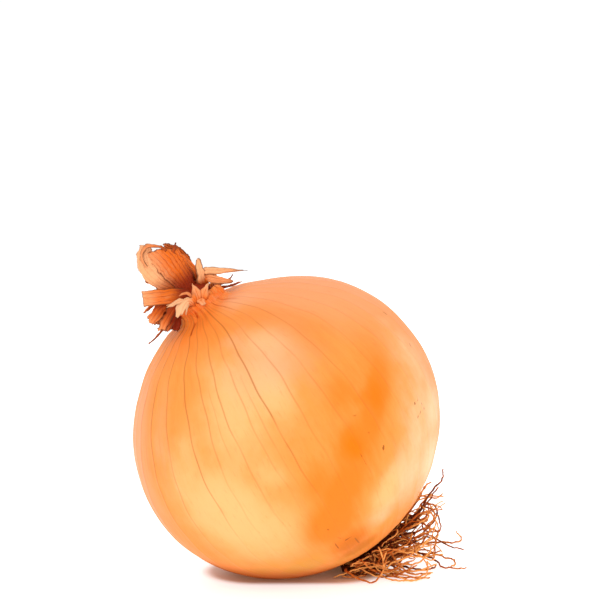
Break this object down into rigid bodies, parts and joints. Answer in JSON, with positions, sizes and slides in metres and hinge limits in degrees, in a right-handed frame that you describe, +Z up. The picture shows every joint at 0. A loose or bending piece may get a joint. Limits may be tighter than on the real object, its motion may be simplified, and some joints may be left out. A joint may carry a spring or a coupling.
{
  "type": "onion",
  "caption": "Yellow onion lying on its side: round bulb in papery veined skin, with dry leaf ends and torn skin at the neck and a tuft of dry roots at the foot.",
  "frame": {"origin": "Middle of the small flat spot under the bulb, on the floor.", "axes": "+Z up. The onion's own axis lies in the XZ plane, 30 degrees from upright: the neck leans towards -X and the roots point down and towards +X. -Y is the side that the picture shows, seen from 17 degrees to its left."},
  "size_m": [0.0961, 0.0855, 0.092],
  "materials": {
    "bulb": "thin dry onion skin, satin, yellow-orange with darker veins from root to neck",
    "torn_skin": "dry, papery, pale cream to peach",
    "neck_leaves": "dry, papery, orange-brown with lengthways folds",
    "roots": "dry, wiry, red-brown"
  },
  "bodies": {
    "root": {"bulb": "bulb", "torn_skin": "torn_skin", "neck_leaves": "neck_leaves", "roots": "roots"}
  },
  "joints": []
}
